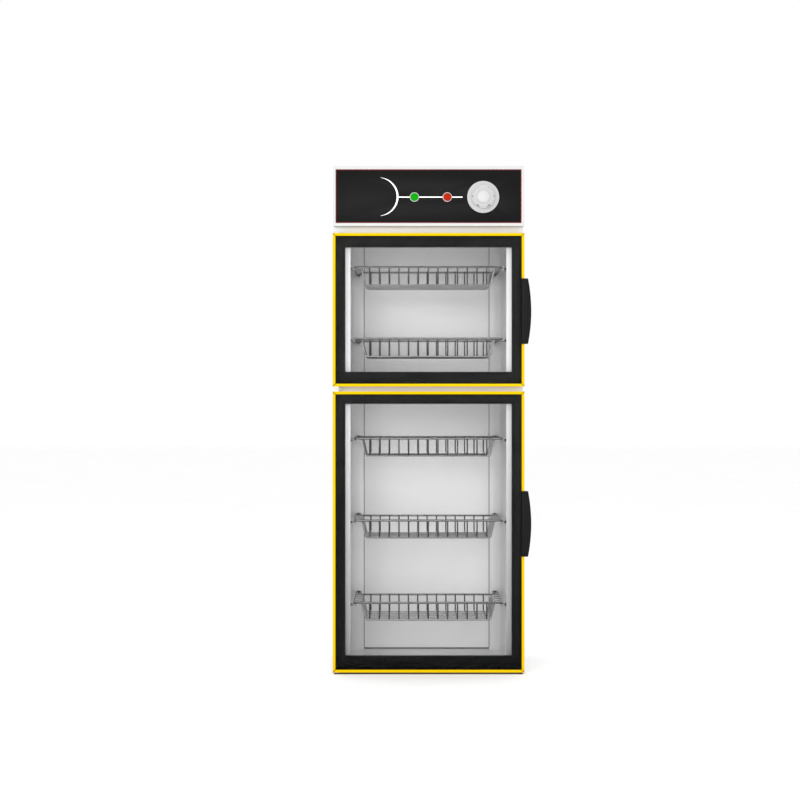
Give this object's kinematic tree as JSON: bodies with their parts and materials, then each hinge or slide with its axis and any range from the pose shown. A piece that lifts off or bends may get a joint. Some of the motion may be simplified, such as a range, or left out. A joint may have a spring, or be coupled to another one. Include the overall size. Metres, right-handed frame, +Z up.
{
  "type": "dish sterilizer cabinet",
  "caption": "Tall free-standing dish sterilizer cabinet with two glass doors on side hinges, a control head with timer knob and lamps, and wire racks in both chambers.",
  "frame": {"origin": "centre of the base plate's underside, on the floor", "axes": "+Z up, -Y towards the doors and the viewer, +X to the viewer's right, where the handles are"},
  "size_m": [0.621, 0.5049, 1.59],
  "materials": {
    "casing": "light grey satin enamel",
    "base": "black satin enamel",
    "bezel": "white moulding",
    "fascia": "black gloss panel",
    "edging": "dark red line",
    "green_lens": "clear green moulding",
    "red_lens": "clear red moulding",
    "lamp_ring": "light grey moulding",
    "knob": "light grey moulding",
    "knob_cap": "turned face",
    "steel_part": "zinc plated",
    "screw": "nickel plated",
    "liner": "satin stainless sheet",
    "wire": "chromed wire",
    "trim": "yellow gloss lacquer",
    "door_frame": "black gloss moulding",
    "glass": "clear tempered pane",
    "gasket": "dark magnetic seal",
    "bush": "natural nylon",
    "handle": "black moulding",
    "insulation": "mineral wool",
    "heater": "stainless sheath",
    "device": "dark moulding",
    "terminal": "light moulding",
    "gland": "black nylon"
  },
  "bodies": {
    "cabinet": {"base_plate": "base", "side_panels": "casing", "top_cover": "casing", "back_cover": "casing", "back_screws": "screw", "face_frame": "casing", "side_liners": "liner", "back_liners": "liner", "chamber_ceilings": "liner", "chamber_floors": "liner", "heater_cover": "liner", "heater_tube": "heater", "heater_clips": "steel_part", "insulation": "insulation", "head_deck": "steel_part", "head_bezel": "bezel", "fascia_edging": "edging", "control_fascia": "fascia", "lamp_rings": "lamp_ring", "green_lamp_lens": "green_lens", "red_lamp_lens": "red_lens", "lamp_bodies": "device", "timer_body": "device", "ozone_generator": "steel_part", "terminal_block": "terminal", "thermostat": "device", "hinge_plates": "steel_part", "hinge_pins": "steel_part", "rack_studs": "wire", "rack_pegs": "wire", "cable_gland": "gland"},
    "timer_knob": {"timer_shaft": "steel_part", "timer_knob": "knob", "knob_cap": "knob_cap"},
    "upper_door": {"upper_door_trim": "trim", "upper_door_inner_frame": "door_frame", "upper_door_glass": "glass", "upper_door_gasket": "gasket", "upper_door_bushes": "bush", "upper_door_handle": "handle", "upper_handle_screws": "screw"},
    "lower_door": {"lower_door_trim": "trim", "lower_door_inner_frame": "door_frame", "lower_door_glass": "glass", "lower_door_gasket": "gasket", "lower_door_bushes": "bush", "lower_door_handle": "handle", "lower_handle_screws": "screw"},
    "rack_1": {"rack_1_rim": "wire", "rack_1_basket": "wire"},
    "rack_2": {"rack_2_rim": "wire", "rack_2_basket": "wire"},
    "rack_3": {"rack_3_rim": "wire", "rack_3_basket": "wire"},
    "rack_4": {"rack_4_rim": "wire", "rack_4_basket": "wire"},
    "rack_5": {"rack_5_rim": "wire", "rack_5_basket": "wire"}
  },
  "joints": [
    {"name": "upper_door_hinge", "type": "hinge", "parent": "cabinet", "child": "upper_door", "pos_m": [-0.289, -0.228, 1.1405], "axis": [0, 0, -1], "range_deg": [0, 110]},
    {"name": "lower_door_hinge", "type": "hinge", "parent": "cabinet", "child": "lower_door", "pos_m": [-0.289, -0.228, 0.4452], "axis": [0, 0, -1], "range_deg": [0, 110]},
    {"name": "timer_turn", "type": "hinge", "parent": "cabinet", "child": "timer_knob", "pos_m": [0.1709, -0.236, 1.4934], "axis": [0, 1, 0], "range_deg": [0, 300]},
    {"name": "rack_1_lift", "type": "slide", "parent": "cabinet", "child": "rack_1", "axis": [0, 0, 1], "range_m": [0, 0.02]},
    {"name": "rack_2_lift", "type": "slide", "parent": "cabinet", "child": "rack_2", "axis": [0, 0, 1], "range_m": [0, 0.02]},
    {"name": "rack_3_lift", "type": "slide", "parent": "cabinet", "child": "rack_3", "axis": [0, 0, 1], "range_m": [0, 0.02]},
    {"name": "rack_4_lift", "type": "slide", "parent": "cabinet", "child": "rack_4", "axis": [0, 0, 1], "range_m": [0, 0.02]},
    {"name": "rack_5_lift", "type": "slide", "parent": "cabinet", "child": "rack_5", "axis": [0, 0, 1], "range_m": [0, 0.02]}
  ]
}
